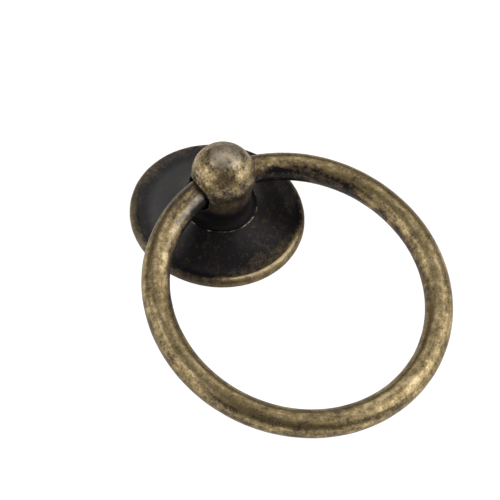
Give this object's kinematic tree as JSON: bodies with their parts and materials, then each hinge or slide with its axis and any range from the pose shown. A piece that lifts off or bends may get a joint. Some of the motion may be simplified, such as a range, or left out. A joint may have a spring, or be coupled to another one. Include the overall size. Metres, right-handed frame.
{
  "type": "ring pull handle",
  "caption": "Antique brass ring pull: a round flared back plate, a ball-headed post tapped from behind, and a round ring that swings through the post's eye.",
  "frame": {"origin": "middle of the back plate's back face, on the axis of the screw hole", "axes": "+Z out of the drawer front along the post; X along the axis that the ring swings about; the ring lies at -Y"},
  "size_m": [0.044, 0.0537, 0.0151],
  "materials": {
    "blackened_brass": "blackened and lacquered, worn bright along the rim",
    "antique_brass": "antique brass, dark patina rubbed back to mottled pale brass"
  },
  "bodies": {
    "mounting": {"back_plate": "blackened_brass", "post": "antique_brass"},
    "ring": {"ring": "antique_brass"}
  },
  "joints": [
    {"name": "ring_swing", "type": "hinge", "parent": "mounting", "child": "ring", "pos_m": [0, 0, 0.00865], "axis": [-1, 0, 0], "range_deg": [0, 199.2]}
  ]
}
